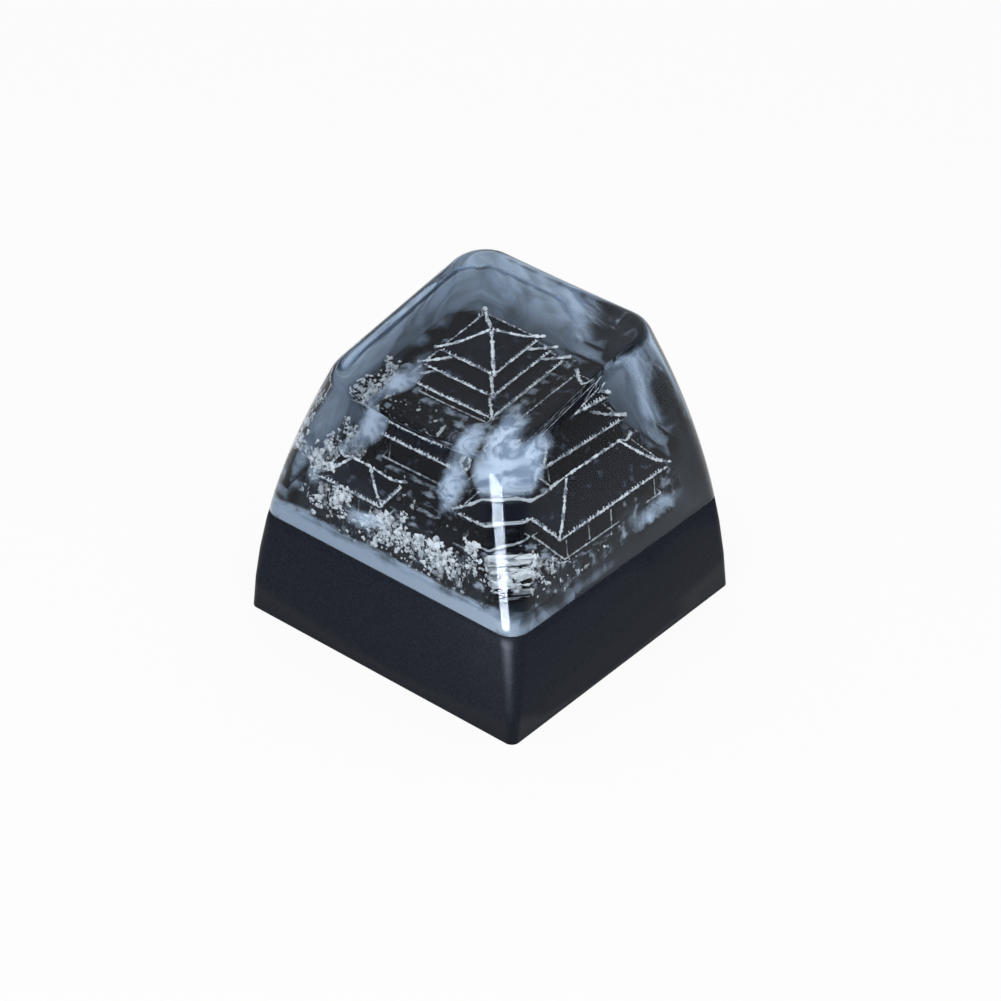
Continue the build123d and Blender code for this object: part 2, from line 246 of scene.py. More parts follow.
@dataclass(frozen=True)
class ClearResin:
    """Polished clear casting."""

    tint: Triple = (0.72, 0.87, 1.0)
    gleam: Triple = (0.13, 0.15, 0.185)
    refraction: float = 1.5

    def material(self) -> Material:
        """Makes the finish.

        Returns:
            The material.
        """
        shade = Shading("clear_resin")
        shade.set(
            Base_Color=(*self.tint, 1.0),
            Transmission_Weight=1.0,
            IOR=self.refraction,
            Roughness=0.0,
            Specular_Tint=(*self.gleam, 1.0),
        )
        shade.let_light_in()
        return shade.material


@dataclass(frozen=True)
class MilkyResin:
    """White-blue pigment: a layer that thins out away from the wall and swirls that climb from it.

    The piece's UV map gives the density along X and the height along Y.
    """

    pale: Triple = (0.66, 0.80, 0.99)
    deep: Triple = (0.04, 0.055, 0.09)
    swirl: Noise = Noise(0.26, 7.0, 1.6, (1.0, 1.0, 0.6))
    raggedness: float = 1.6
    strand_span: Span = (0.32, 0.66)
    strand_tone: Span = (0.45, 1.0)
    band_tone: float = 0.4
    band_edge: Span = (0.07, 0.16)
    shoulder_start: Span = (0.03, 0.085)
    shoulder_end: Span = (0.1, 0.2)
    shoulder_depth: float = 0.18
    solid_span: Span = (0.25, 0.85)
    thinnest: float = 0.01

    def material(self) -> Material:
        """Makes the finish.

        Returns:
            The material.
        """
        shade = Shading("milky_resin")
        swirl = shade.grain(self.swirl)
        cover, rise = shade.axis_of("UV", "X"), shade.axis_of("UV", "Y")
        strand = shade.between(swirl, self.strand_span, self.strand_tone)
        change = shade.maths("SUBTRACT", strand, self.band_tone)
        change = shade.product(change, shade.between(rise, self.band_edge))
        tone = shade.maths("ADD", change, self.band_tone)
        shoulder = shade.between(rise, self.shoulder_end, (self.shoulder_depth, 0.0))
        shoulder = shade.product(shoulder, shade.between(rise, self.shoulder_start))
        body = shade.maths("ADD", cover, shade.ragged(swirl, self.raggedness))
        body = shade.maths("SUBTRACT", body, shoulder)
        shade.set(
            Base_Color=shade.blend(tone, self.deep, self.pale),
            Alpha=shade.between(body, self.solid_span, (self.thinnest, 1.0)),
            Roughness=0.6,
            Specular_IOR_Level=0.1,
        )
        return shade.material


@dataclass(frozen=True)
class MistVeil:
    """Smoky white pigment that hangs in the casting, fading out to its edges."""

    name: str
    density: float
    swirl: Noise
    strands: Noise
    raggedness: float = 1.8
    pale: Triple = (0.68, 0.79, 0.95)
    deep: Triple = (0.28, 0.36, 0.49)
    strand_span: Span = (0.36, 0.6)
    edge: float = 0.5
    rim_span: Span = (0.0, 0.12)
    solid_span: Span = (0.1, 1.1)

    def material(self) -> Material:
        """Makes the finish.

        Returns:
            The material.
        """
        shade = Shading(self.name)
        ends = ((0.0, self.edge), RISING), ((1.0 - self.edge, 1.0), FALLING)
        fades = [shade.between(shade.axis_of("UV", axis), *end) for axis in "XY" for end in ends]
        inside = shade.product(*fades)
        swirl = shade.ragged(shade.grain(self.swirl), self.raggedness)
        body = shade.between(shade.maths("ADD", inside, swirl), self.solid_span, (0.0, self.density))
        strand = shade.between(shade.grain(self.strands), self.strand_span)
        shade.set(
            Base_Color=shade.blend(strand, self.deep, self.pale),
            Alpha=shade.product(body, shade.between(inside, self.rim_span)),
            Roughness=1.0,
            Specular_IOR_Level=0.0,
        )
        return shade.material


@dataclass(frozen=True)
class DryBrushed:
    """Dark paint with a pale paint dragged over what stands up."""

    name: str
    dark: Triple
    pale: Triple
    patch_scale: float
    patch_span: Span
    facing: float
    relief: float
    relief_scale: float = 4.0

    def material(self) -> Material:
        """Makes the finish.

        Returns:
            The material.
        """
        shade = Shading(self.name)
        patch = shade.grain(Noise(self.patch_scale, detail=6.0))
        if self.facing:
            upward = shade.maths("MULTIPLY", shade.axis_of("Normal", "Z"), self.facing)
            patch = shade.maths("ADD", patch, upward)
        shade.set(
            Base_Color=shade.blend(shade.between(patch, self.patch_span), self.dark, self.pale),
            Roughness=0.75,
            Specular_IOR_Level=0.02,
        )
        grain = Noise(self.relief_scale * self.patch_scale, detail=3.0)
        shade.bump(shade.grain(grain), self.relief)
        return shade.material


@dataclass(frozen=True)
class CapForm:
    """Outside form of the keycap, in metres: sections that tilt and draw in as they rise.

    The front, back and side flanks have the inset at their top, and the share of it that is even.
    """

    width: float = 18.0 * MM
    rim_corner: float = 0.46 * MM
    top_corner: float = 1.9 * MM
    front_height: float = 14.74 * MM
    back_height: float = 16.89 * MM
    flanks: tuple[Span, ...] = ((2.52 * MM, 0.17), (3.05 * MM, 0.46), (2.88 * MM, -0.06))
    dish_front: float = 0.45 * MM
    dish_back: float = 0.06 * MM
    dish_overlap: float = 1.0 * MM
    dish_lip: float = 0.1 * MM
    edge_reach: float = 0.52 * MM
    corner_steps: int = 14
    side_steps: int = 12

    @property
    def half(self) -> float:
        """Half the width at the rim."""
        return self.width / 2

    def walls(self, share: float) -> Triple:
        """Front and back along Y, and half the width, at a share of the height."""
        drawn = [inset * (lean * share + (1 - lean) * share**2) for inset, lean in self.flanks]
        return drawn[0] - self.half, self.half - drawn[1], self.half - drawn[2]

    def top_level(self, y: float) -> float:
        """Height of the undished top at a place along Y."""
        front, back, _ = self.walls(1.0)
        return self.front_height + (self.back_height - self.front_height) * (y - front) / (back - front)

    def on_dish(self, place: Vector) -> Vector:
        """Point of the dished top over a place.

        Args:
            place: The place, whose height isn't used.

        Returns:
            The point.
        """
        front, back, half = self.walls(1.0)
        share = (place.y - front + self.dish_overlap) / (back - front + 2 * self.dish_overlap)
        sag = self.dish_front + (self.dish_back - self.dish_front) * share
        depth = (sag + self.dish_lip) * (1 - (place.x / (half + self.dish_overlap)) ** 2)
        return Vector((place.x, place.y, self.top_level(place.y) + self.dish_lip - depth))

    def stations(self) -> list[Station]:
        """Places round a section, the same at every height.

        Returns:
            Share of a corner's arc, share along the side after it, and the corner's number.
        """
        places: list[Station] = []
        for corner in range(len(CORNERS)):
            arc, side = range(self.corner_steps + 1), range(1, self.side_steps)
            places += [(step / self.corner_steps, 0.0, corner) for step in arc]
            places += [(1.0, step / self.side_steps, corner) for step in side]
        return places

    def on_corner(self, number: int, turn: float, share: float) -> Vector:
        """Point on a corner's arc, in plan.

        Args:
            number: The corner's number, from the front right one on.
            turn: Share of the arc.
            share: Share of the height.

        Returns:
            The point.
        """
        front, back, wide = self.walls(share)
        radius = self.rim_corner + (self.top_corner - self.rim_corner) * share
        sign_x, sign_y = CORNERS[(number + 1) % len(CORNERS)]
        angle = math.radians(90 * (number - 1 + turn))
        x = sign_x * (wide - radius) + radius * math.cos(angle)
        y = (front + back) / 2 + sign_y * ((back - front) / 2 - radius) + radius * math.sin(angle)
        return Vector((x, y))

    def at(self, station: Station, share: float) -> Vector:
        """Point of the flank at a station.

        Args:
            station: The place round the form.
            share: Share of the height.

        Returns:
            The point.
        """
        turn, along, corner = station
        place = self.on_corner(corner, turn, share)
        if along:
            place = place.lerp(self.on_corner(corner + 1, 0.0, share), along)
        return Vector((place.x, place.y, share * self.top_level(place.y)))


def add_object(name: str, data: bpy.types.ID) -> Item:
    """Adds an object to the scene, at the origin.

    Args:
        name: The object's name.
        data: Its mesh, lamp or camera.

    Returns:
        The object.
    """
    made = bpy.data.objects.new(name, data)
    bpy.context.scene.collection.objects.link(made)
    return made


class Workshop:
    """What every piece shares: starting a mesh, growing it and handing it over finished."""

    rough_noise = (0.6, 2.1, 4)

    @staticmethod
    def copy_of(node: str) -> BMesh:
        """Copies the mesh of a CAD node.

        Args:
            node: The node's name.

        Returns:
            The copy, with its doubled vertices merged.
        """
        bm = bmesh.new()
        bm.from_mesh(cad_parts[node].data)
        bmesh.ops.remove_doubles(bm, verts=bm.verts, dist=MERGE_DISTANCE)
        return bm

    @staticmethod
    def sheet(columns: int, rows: int, place: Callable[[float, float], Vector]) -> BMesh:
        """Makes a sheet with a UV map from a grid.

        Args:
            columns: Faces along the sheet.
            rows: Faces across it.
            place: Gives the point at a share along and a share across.

        Returns:
            The sheet as a mesh of its own.
        """
        bm = bmesh.new()
        half = 0.5
        bmesh.ops.create_grid(bm, x_segments=columns, y_segments=rows, size=half)
        layer = bm.loops.layers.uv.new("UVMap")
        for face in bm.faces:
            for loop in face.loops:
                loop[layer].uv = (loop.vert.co.x + half, loop.vert.co.y + half)
        for vert in bm.verts:
            vert.co = place(vert.co.x + half, vert.co.y + half)
        return bm

    @classmethod
    def tube(cls, rings: Sequence[Sequence[Vector]]) -> BMesh:
        """Makes a wall through rings of equally many points, closed at both ends.

        Args:
            rings: Points of each ring, in the same order.

        Returns:
            The wall as a mesh of its own.
        """
        rows, points = len(rings) - 1, len(rings[0])
        bm = cls.sheet(points, rows, lambda x, y: rings[round(y * rows)][round(x * points) % points])
        bmesh.ops.remove_doubles(bm, verts=bm.verts, dist=MERGE_DISTANCE)
        bmesh.ops.holes_fill(bm, edges=bm.edges, sides=0)
        bmesh.ops.recalc_face_normals(bm, faces=bm.faces)
        return bm

    @staticmethod
    def gather(bm: BMesh, other: BMesh) -> None:
        """Adds a mesh to another.

        Args:
            bm: The mesh that grows.
            other: The mesh that is added, and freed.
        """
        mesh = bpy.data.meshes.new("gathered")
        other.to_mesh(mesh)
        other.free()
        bm.from_mesh(mesh)
        bpy.data.meshes.remove(mesh)

    @staticmethod
    def refine(bm: BMesh, longest: float, rounds: int = 7) -> None:
        """Splits every edge that is longer than a limit.

        Args:
            bm: The mesh that is refined.
            longest: The longest edge that stays.
            rounds: The most passes.
        """
        for _ in range(rounds):
            edges = [edge for edge in bm.edges if edge.calc_length() > longest]
            if not edges:
                return
            bmesh.ops.subdivide_edges(bm, edges=edges, cuts=1)
            bmesh.ops.triangulate(bm, faces=bm.faces)

    @classmethod
    def roughen(cls, bm: BMesh, depth: float, scale: float, floor: float) -> None:
        """Moves the vertices in and out by noise.

        Args:
            bm: The mesh that is roughened.
            depth: The largest move.
            scale: Cells of the noise in a millimetre.
            floor: Height below which nothing moves.
        """
        bm.normal_update()
        moves = []
        for vert in bm.verts:
            swell = noise.fractal(vert.co * scale / MM, *cls.rough_noise)
            moves.append(vert.normal * swell * depth)
        for vert, move in zip(bm.verts, moves):
            if vert.co.z > floor:
                vert.co += move

    @staticmethod
    def hand_over(
        bm: BMesh, name: str, material: Material, slot: Slot, stands_for: str = "", crease: float = 40.0
    ) -> None:
        """Turns a finished mesh into a piece that rides on the part.

        Args:
            bm: The finished mesh, which is freed.
            name: The piece's name.
            material: Its finish.
            slot: The material slot that its finish belongs to; not used.
            stands_for: The CAD node that it replaces, if any.
            crease: Angle over which an edge stays sharp, in degrees.
        """
        mesh = bpy.data.meshes.new(name)
        bm.to_mesh(mesh)
        bm.free()
        mesh.polygons.foreach_set("use_smooth", [True] * len(mesh.polygons))
        mesh.set_sharp_from_angle(angle=math.radians(crease))
        mesh.materials.append(material)
        piece = add_object(name, mesh)
        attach(piece, BODY)
        if stands_for:
            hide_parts(stands_for)
        LOG.info("%s: %d faces", name, len(mesh.polygons))


@dataclass
class Handwork(Workshop):
    """Work in which no two things come out alike, and the lumpy bead that is part of it."""

    seed: int = 0
    bead_sides: int = 6
    bead_lumps: Span = (0.4, 1.45)
    bead_facets: Span = (0.75, 1.25)

    def __post_init__(self) -> None:
        """Starts the source of the differences."""
        self.chance = random.Random(self.seed)

    def bead(self, bm: BMesh, line: Line, radius: float, step: float) -> None:
        """Lays a lumpy bead along a line.

        Args:
            bm: The mesh that gets the bead.
            line: Corners of the line.
            radius: The bead's radius.
            step: Distance between its rings.
        """
        rings: list[Line] = []
        for start, end in zip(line, line[1:]):
            run = end - start
            aside = run.cross(UP)
            aside = aside.normalized() if aside.length > step * step else Vector((1, 0, 0))
            upward = aside.cross(run).normalized()
            count = max(2, round(run.length / step))
            for index in range(1 if rings else 0, count + 1):
                middle = start.lerp(end, index / count)
                thick = radius * self.chance.uniform(*self.bead_lumps)
                ring = []
                for side in range(self.bead_sides):
                    turn = 2 * math.pi * side / self.bead_sides
                    reach = thick * self.chance.uniform(*self.bead_facets)
                    ring.append(middle + reach * (math.cos(turn) * aside + math.sin(turn) * upward))
                rings.append(ring)
        self.gather(bm, self.tube(rings))


@dataclass
class Skirt(Workshop):
    """Dark skirt with the switch socket under it."""

    finish: SatinResin = SatinResin()

    def build(self) -> None:
        """Makes the skirt as a smooth copy of its solid."""
        bm = self.copy_of("base_skirt")
        self.hand_over(bm, "skirt", self.finish.material(), Slot.SKIRT, "base_skirt")


@dataclass
class Dome(Workshop):
    """Clear casting over the deck, a polished form with a dished top."""

    form: CapForm = CapForm()
    finish: ClearResin = ClearResin()
    flank_steps: int = 20
    edge_steps: int = 8
    dish_steps: int = 14
    level_rounds: int = 8
    foot: float = 0.05 * MM

    def build(self) -> None:
        """Makes the casting from rings that climb the flank, round the edge and cross the dish."""
        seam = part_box("base_skirt")[1].z
        columns = [self.column(station, seam) for station in self.form.stations()]
        bm = self.tube(list(zip(*columns)))
        ends = [face for face in bm.faces if len(face.verts) == len(columns)]
        crown = max(ends, key=lambda face: face.calc_center_median().z)
        bmesh.ops.poke(bm, faces=[crown])
        self.hand_over(bm, "dome", self.finish.material(), Slot.CLEAR, "clear_cap", crease=50.0)

    def column(self, station: Station, seam: float) -> Line:
        """Points from the foot of a station up to the middle of the dish.

        Args:
            station: The place round the form.
            seam: Level of the deck.

        Returns:
            The points, equally many at every station.
        """
        form = self.form
        corner = form.on_dish(form.at(station, 1.0))
        low = seam / form.front_height
        for _ in range(self.level_rounds):
            low = seam / form.top_level(form.at(station, low).y)
        climb = (1 - form.edge_reach / form.top_level(corner.y) - low) / self.flank_steps
        flank = [form.at(station, low + climb * step) for step in range(self.flank_steps + 1)]
        foot = flank[0].lerp(Vector((0, flank[0].y, seam)), self.foot / form.half)
        column = [foot - self.foot * UP, *flank]
        middle = Vector((0, sum(form.walls(1.0)[:2]) / 2, 0))
        reach = 1 - form.edge_reach / form.half * math.sqrt(2)
        inner = form.on_dish(middle.lerp(corner, reach))
        for step in range(1, self.edge_steps + 1):
            share = step / self.edge_steps
            first = flank[-1].lerp(corner, share)
            column.append(first.lerp(corner.lerp(inner, share), share))
        for step in range(1, self.dish_steps):
            inward = reach * (1 - step / self.dish_steps)
            column.append(form.on_dish(middle.lerp(corner, inward)))
        return column


@dataclass
class Scenery(Workshop):
    """Stone and bushes that the solids give, roughened."""

    stone: DryBrushed = DryBrushed(
        "dusted_stone", (0.006, 0.008, 0.012), (0.46, 0.52, 0.61), 1.6, (0.55, 0.80), 0.10, 0.05
    )
    leaf: DryBrushed = DryBrushed(
        "dusted_leaf", (0.006, 0.007, 0.011), (0.72, 0.76, 0.82), 2.6, (0.56, 0.68), 0.08, 0.06
    )
    fine_edge: float = 0.22 * MM
    still_height: float = 0.02 * MM

    def build(self) -> None:
        """Makes the terrace, the boulders, the bushes and the stair."""
        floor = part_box("base_skirt")[1].z + self.still_height
        stone, leaf = self.stone.material(), self.leaf.material()
        for node, name, finish, slot, edge, depth, scale in (
            ("terrace", "rough_terrace", stone, Slot.STONE, self.fine_edge, 0.12, 0.9),
            ("boulders", "rough_boulders", stone, Slot.STONE, self.fine_edge, 0.13, 1.1),
            ("bushes", "leafy_bushes", leaf, Slot.BUSH, self.fine_edge / 2, 0.16, 2.6),
            ("stair", "worn_stair", stone, Slot.STONE, self.fine_edge, 0.02, 2.0),
        ):
            bm = self.copy_of(node)
            self.refine(bm, edge)
            self.roughen(bm, depth * MM, scale, floor)
            self.hand_over(bm, name, finish, slot, node)


@dataclass(frozen=True)
class Standing:
    """What stands on a terrace, in millimetres: its middle, foot, plan and rise."""

    x: float
    y: float
    foot: float
    length: float
    depth: float
    rise: float
    turned: bool = field(default=False, kw_only=True)

    def place(self, along: float, across: float, height: float) -> Vector:
        """Point in metres, from distances along and across the length and a height over the foot."""
        x, y = (-across, along) if self.turned else (along, across)
        return Vector((self.x + x, self.y + y, self.foot + height)) * MM


@dataclass(frozen=True)
class HipRoof(Standing):
    """Hip roof with thick eaves and hollow slopes, whose foot is the eave level."""

    eave: float = 0.22
    hollow: float = 0.12
    bar_height: float = 0.13
    tip_reach: float = 0.3
    tip_flick: float = 0.22
    bar_shares: Triple = (0.25, 0.5, 1.0)

    @property
    def half_span(self) -> float:
        """Run of a slope from its eave to the ridge."""
        return self.depth / 2

    @property
    def crest(self) -> float:
        """Half the length of the ridge."""
        return (self.length - self.depth) / 2

    def height(self, distance: float) -> float:
        """Height of a slope over the eave level, at a distance in from the eave."""
        share = distance / self.half_span
        return self.eave + share * (self.rise - self.eave - 4 * self.hollow * (1 - share))

    def slope_point(self, side: int, lateral: float, distance: float, lift: float) -> Vector:
        """Point on one of the four slopes.

        Args:
            side: 0 and 2 for the long slopes, 1 and 3 for the hipped ends.
            lateral: Place along the eave, from -1 to 1 of the slope's half-width there.
            distance: Distance in from the eave.
            lift: Height over the slope.

        Returns:
            The point, in metres.
        """
        sign = 1 if side < 2 else -1
        reach = self.half_span - distance
        height = self.height(distance) + lift
        if side % 2:
            return self.place(sign * (self.crest + reach), lateral * reach, height)
        return self.place(lateral * (self.crest + reach), sign * reach, height)

    def eave_half(self, side: int) -> float:
        """Half the length of a slope's eave."""
        return self.half_span if side % 2 else self.length / 2

    def crest_lines(self) -> list[Line]:
        """Crests of the bars on the four hips and on the ridge, which a spire has not.

        Returns:
            Points of each, on the hips from the flicked tip up.
        """
        spots = [(-self.tip_reach / math.sqrt(2), self.eave + self.tip_flick)]
        for share in self.bar_shares:
            reach = share * self.half_span
            spots.append((reach, self.height(reach) + self.bar_height))
        half, span = self.length / 2, self.half_span
        lines = [
            [self.place(x * (half - reach), y * (span - reach), top) for reach, top in spots]
            for x in (1, -1)
            for y in (1, -1)
        ]
        if self.crest > 0:
            top = self.rise + self.bar_height
            lines.append([self.place(x * self.crest, 0.0, top) for x in (-1, 1)])
        return lines

    def eave_lines(self) -> list[Line]:
        """Upper edges of the four eaves."""
        return [[self.slope_point(side, end, 0.0, 0.0) for end in (-1, 1)] for side in range(4)]


@dataclass(frozen=True)
class Room(Standing):
    """Walls of a building, with posts along each long side."""

    bays: int
    post: float = 0.14
    plinth: float = 0.35

    def edge_lines(self) -> list[Line]:
        """Front edges of the posts and upper edges of the plinth.

        Returns:
            Both ends of each.
        """
        lines = []
        for index in range(self.bays):
            along = self.length * (index / (self.bays - 1) - 0.5)
            for side in (1, -1):
                across = side * (self.depth / 2 + self.post)
                lines.append([self.place(along, across, height) for height in (0.0, self.rise)])
        reach, span = self.length / 2 + self.plinth, self.depth / 2 + self.plinth
        corners = [self.place(x * reach, y * span, 0.0) for x, y in CORNERS]
        return lines + [[corners[index - 1], corners[index]] for index in range(4)]


@dataclass(frozen=True)
class House:
    """One building: the CAD node that carries it, its roofs and its rooms."""

    node: str
    roofs: tuple[HipRoof, ...]
    rooms: tuple[Room, ...]


@dataclass
class Hamlet(Handwork):
    """Buildings: dark painted walls and tiles, picked out by dry-brushed white along the edges."""

    houses: tuple[House, ...] = (
        House(
            "tower",
            (
                HipRoof(-2.0, 2.4, 9.187, 6.0, 6.0, 1.26),
                HipRoof(-2.0, 2.4, 10.524, 4.85, 4.85, 1.0185),
                HipRoof(-2.0, 2.4, 11.861, 3.7, 3.7, 1.665),
            ),
            (
                Room(-2.0, 2.4, 7.85, 4.2, 4.2, 1.337, 2),
                Room(-2.0, 2.4, 9.187, 3.05, 3.05, 1.337, 2),
                Room(-2.0, 2.4, 10.524, 1.9, 1.9, 1.337, 2),
            ),
        ),
        House(
            "long_hall",
            (HipRoof(4.3, 0.9, 8.55, 8.5, 4.4, 1.892, turned=True),),
            (Room(4.3, 0.9, 7.25, 7.0, 2.9, 1.3, 5, turned=True),),
        ),
        House(
            "gate_house",
            (HipRoof(-3.9, -4.2, 8.1, 4.2, 3.0, 1.2),),
            (Room(-3.9, -4.2, 6.95, 3.0, 1.8, 1.15, 4),),
        ),
    )
    paint: DryBrushed = DryBrushed(
        "dark_roof_paint", (0.003, 0.0042, 0.009), (0.10, 0.125, 0.18), 1.6, (0.56, 0.80), 0.0, 0.008
    )
    frost: DryBrushed = DryBrushed(
        "white_edge_paint", (0.20, 0.23, 0.28), (0.88, 0.91, 0.95), 2.6, (0.36, 0.56), 0.0, 0.05
    )
    tile_pitch: float = 0.36
    tile_facets: int = 6
    tile_reach: float = 0.97
    tile_crown: float = 0.06
    tile_lift: float = 0.015
    crest_radius: float = 0.095
    eave_radius: float = 0.07
    post_radius: float = 0.05
    bead_step: float = 0.085
    tooth_pitch: float = 0.21
    tooth_size: float = 0.07
    tooth_growth: Span = (0.6, 1.3)
    tooth_inset: float = 0.05
    tooth_lift: Span = (-0.02, 0.05)
    tooth_length: float = 2.4
    seed: int = 11

    def build(self) -> None:
        """Repaints the solids and adds tiles and white edges to each building."""
        paint, frost = self.paint.material(), self.frost.material()
        for house in self.houses:
            node = house.node
            walls, tiles, edges = self.copy_of(node), bmesh.new(), bmesh.new()
            self.hand_over(walls, f"{node}_walls", paint, Slot.ROOF, node, crease=25.0)
            for roof in house.roofs:
                for side in range(4):
                    self.lay_tiles(tiles, roof, side)
                    self.set_teeth(edges, roof, side)
                self.brush(edges, roof.crest_lines(), self.crest_radius)
                self.brush(edges, roof.eave_lines(), self.eave_radius)
            for room in house.rooms:
                self.brush(edges, room.edge_lines(), self.post_radius)
            self.hand_over(tiles, f"{node}_tiles", paint, Slot.ROOF)
            self.hand_over(edges, f"{node}_edges", frost, Slot.MILKY, crease=60.0)

    def lay_tiles(self, bm: BMesh, roof: HipRoof, side: int) -> None:
        """Covers a slope with rows of half-round tiles.

        Args:
            bm: The mesh that gets the tiles.
            roof: The roof.
            side: The slope's number.
        """
        half = roof.eave_half(side)
        columns = self.tile_facets * round(2 * half / self.tile_pitch)

        def place(across: float, up: float) -> Vector:
            """Point of the tiled sheet.

            Args:
                across: Share of the way along the eave.
                up: Share of the way up the slope.

            Returns:
                The point, in metres.
            """
            distance = self.tile_reach * up * roof.half_span
            lateral = 2 * across - 1
            turn = math.pi * lateral * (half - distance) / self.tile_pitch
            lift = self.tile_lift + self.tile_crown * abs(math.cos(turn))
            return roof.slope_point(side, lateral, distance, lift)

        sheet = self.sheet(columns, rows=8, place=place)
        bmesh.ops.solidify(sheet, geom=sheet.faces[:], thickness=self.tile_lift * MM)
        bmesh.ops.recalc_face_normals(sheet, faces=sheet.faces)
        self.gather(bm, sheet)

    def set_teeth(self, bm: BMesh, roof: HipRoof, side: int) -> None:
        """Sets small tile ends along an eave, no two alike.

        Args:
            bm: The mesh that gets the tile ends.
            roof: The roof.
            side: The slope's number.
        """
        count = round(2 * roof.eave_half(side) / self.tooth_pitch)
        for index in range(1, count):
            size = self.tooth_size * self.chance.uniform(*self.tooth_growth) * MM
            lift = self.chance.uniform(*self.tooth_lift)
            middle = roof.slope_point(side, 2 * index / count - 1, self.tooth_inset, lift)
            turn = Matrix.Rotation(self.chance.uniform(0, math.pi), 4, "Z")
            stand = Matrix.Translation(middle) @ turn
            sizes = {"radius1": size, "radius2": size / 2, "depth": self.tooth_length * size}
            bmesh.ops.create_cone(bm, cap_ends=True, segments=5, matrix=stand, **sizes)

    def brush(self, bm: BMesh, lines: Sequence[Line], radius: float) -> None:
        """Lays a crusty bead of white along each of some edges, its radius in millimetres."""
        for line in lines:
            self.bead(bm, line, radius * MM, self.bead_step * MM)


@dataclass
class Thicket(Handwork):
    """Twigs with white blossom crumbs among the rocks at the front."""

    blossom: DryBrushed = DryBrushed(
        "blossom_white", (0.40, 0.44, 0.50), (0.90, 0.92, 0.95), 2.4, (0.32, 0.50), 0.0, 0.03
    )
    bark: DryBrushed = DryBrushed(
        "dark_bark", (0.008, 0.008, 0.010), (0.22, 0.23, 0.25), 2.2, (0.55, 0.8), 0.0, 0.03
    )
    shrub_count: int = 34
    shrub_stray: Span = (-0.4, 0.4)
    shrub_heights: Span = (0.8, 2.9)
    row: float = 7.3 * MM
    row_depth: float = 1.5 * MM
    row_turns: Span = (176.0, 322.0)
    row_squareness: int = 4
    twig_counts: tuple[int, int] = (2, 4)
    twig_radius: float = 0.07 * MM
    twig_step: float = 0.2 * MM
    twig_lean: Span = (-0.05, 0.5)
    twig_sway: float = 0.5
    twig_bend: float = 0.15
    twig_share: Span = (0.7, 1.1)
    crumb_counts: tuple[int, int] = (10, 26)
    crumb_crowding: float = 0.6
    crumb_small: float = 0.04 * MM
    crumb_large: float = 0.15 * MM
    crumb_stray: float = 0.13
    crumb_relief: float = 1.8
    crumb_grain: float = 9.0
    clump_counts: tuple[int, ...] = (0, 0, 0, 12, 24)
    clump_stray: float = 0.16
    clump_growth: float = 1.3
    strewn: tuple[tuple[str, int], ...] = (("boulders", 300), ("bushes", 320), ("terrace", 200))
    strewn_facing: float = 0.15
    seed: int = 29

    def build(self) -> None:
        """Grows the shrubs and scatters crumbs on the rocks."""
        twigs, crumbs = bmesh.new(), bmesh.new()
        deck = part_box("base_skirt")[1].z
        first, last = self.row_turns
        for index in range(self.shrub_count):
            share = (index + self.chance.uniform(*self.shrub_stray)) / (self.shrub_count - 1)
            turn = math.radians(first + (last - first) * share)
            reach = self.row - self.row_depth * self.chance.random() ** 2
            ways = math.cos(turn), math.sin(turn)
            square = sum(way**self.row_squareness for way in ways) ** (1 / self.row_squareness)
            root = Vector((*(reach * way / square for way in ways), deck))
            self.grow_shrub(twigs, crumbs, root)
        for node, count in self.strewn:
            self.scatter(crumbs, node, count)
        self.hand_over(twigs, "twigs", self.bark.material(), Slot.BUSH, crease=60.0)
        self.hand_over(crumbs, "blossom", self.blossom.material(), Slot.BUSH, crease=25.0)

    def aside(self, reach: float) -> Vector:
        """Level move of up to a reach in millimetres, along X and along Y."""
        return Vector((*(self.chance.uniform(-reach, reach) for _ in range(2)), 0)) * MM

    def stray(self, spread: float) -> Vector:
        """Move to any side, with a spread in millimetres."""
        return Vector([self.chance.gauss(0.0, spread) for _ in range(3)]) * MM

    def grow_shrub(self, twigs: BMesh, crumbs: BMesh, root: Vector) -> None:
        """Grows a few leaning twigs with crumbs along their upper half.

        Args:
            twigs: The mesh that gets the twigs.
            crumbs: The mesh that gets the crumbs.
            root: Foot of the shrub.
        """
        chance = self.chance
        height = chance.uniform(*self.shrub_heights) * MM
        inward = Vector((-root.x, -root.y, 0)).normalized()
        for _ in range(chance.randint(*self.twig_counts)):
            tip = root + inward * chance.uniform(*self.twig_lean) * MM + self.aside(self.twig_sway)
            tip += height * chance.uniform(*self.twig_share) * UP
            knee = root.lerp(tip, 0.5) + self.aside(self.twig_bend)
            self.bead(twigs, [root, knee, tip], self.twig_radius, self.twig_step)
            patch = bmesh.new()
            for _ in range(chance.randint(*self.crumb_counts)):
                self.drop_crumb(patch, knee.lerp(tip, chance.random() ** self.crumb_crowding))
            for _ in range(chance.choice(self.clump_counts)):
                self.drop_crumb(patch, tip + self.stray(self.clump_stray), self.clump_growth)
            self.gather(crumbs, patch)

    def scatter(self, crumbs: BMesh, node: str, count: int) -> None:
        """Strews crumbs over the upper faces of a solid's front half.

        Args:
            crumbs: The mesh that gets the crumbs.
            node: The CAD node that carries them.
            count: Number of crumbs.
        """
        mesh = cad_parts[node].data
        upper = [face for face in mesh.polygons if face.normal.z > self.strewn_facing]
        faces = [face for face in upper if face.center.y < 0.0]
        patch = bmesh.new()
        for face in self.chance.choices(faces, weights=[face.area for face in faces], k=count):
            corners = [mesh.vertices[index].co for index in face.vertices]
            shares = [self.chance.random() for _ in corners]
            total = sum((corner * share for corner, share in zip(corners, shares)), Vector())
            self.drop_crumb(patch, total / sum(shares))
        self.gather(crumbs, patch)

